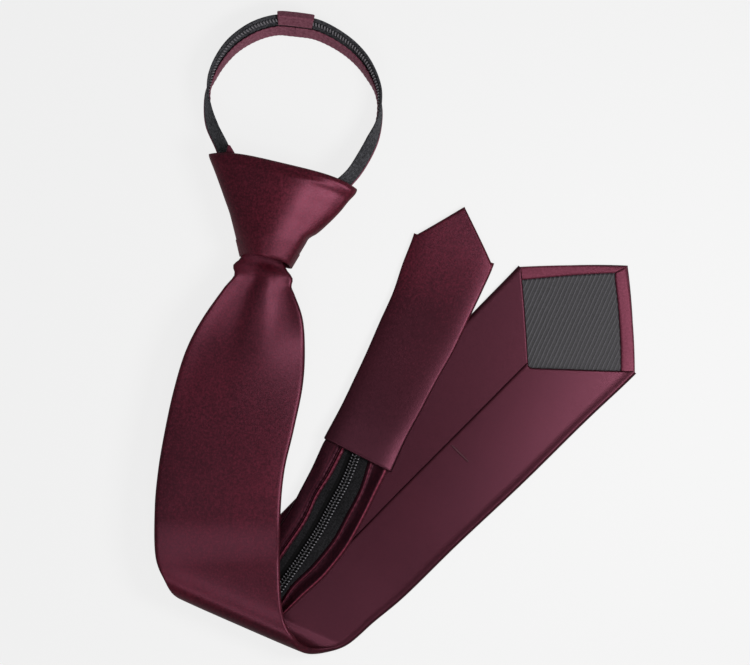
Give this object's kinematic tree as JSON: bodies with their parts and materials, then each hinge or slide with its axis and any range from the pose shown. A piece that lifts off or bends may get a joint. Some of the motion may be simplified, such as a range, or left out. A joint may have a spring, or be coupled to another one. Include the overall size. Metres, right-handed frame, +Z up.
{
  "type": "zipper necktie",
  "caption": "Pre-tied satin zipper tie lying folded: padded knot, open zip neck loop, rolled front blade and capped zip tail.",
  "frame": {"origin": "centre of the tie's outline, on the table it lies on", "axes": "+Z up from the table, +Y towards the neck loop, +X towards the pointed end of the wide blade"},
  "size_m": [0.241, 0.3225, 0.027],
  "materials": {
    "satin": "burgundy satin with a soft sheen",
    "satin_facing": "burgundy satin, lit from the side",
    "neck_tape": "dark grey woven zip tape",
    "tail_tape": "black woven zip tape",
    "coil": "black nylon zip coil",
    "lining": "dark grey ribbed lining",
    "thread": "thread",
    "slider": "black"
  },
  "bodies": {
    "root": {"blade": "satin", "tip_facing_top": "satin_facing", "tip_facing_side": "satin_facing", "tip_lining": "lining", "bar_tack": "thread", "knot": "satin", "knot_tab": "satin_facing", "tail_cap": "satin", "tail_strip_left": "satin", "tail_strip_right": "satin", "tail_tape_left": "tail_tape", "tail_tape_right": "tail_tape", "tail_coil_left": "coil", "tail_coil_right": "coil", "neck_tape_left": "neck_tape", "neck_tape_right": "neck_tape", "neck_facing_left": "satin_facing", "neck_facing_right": "satin_facing", "neck_coil_left": "coil", "neck_coil_right": "coil", "neck_keeper": "satin_facing", "slider": "slider"}
  },
  "joints": []
}
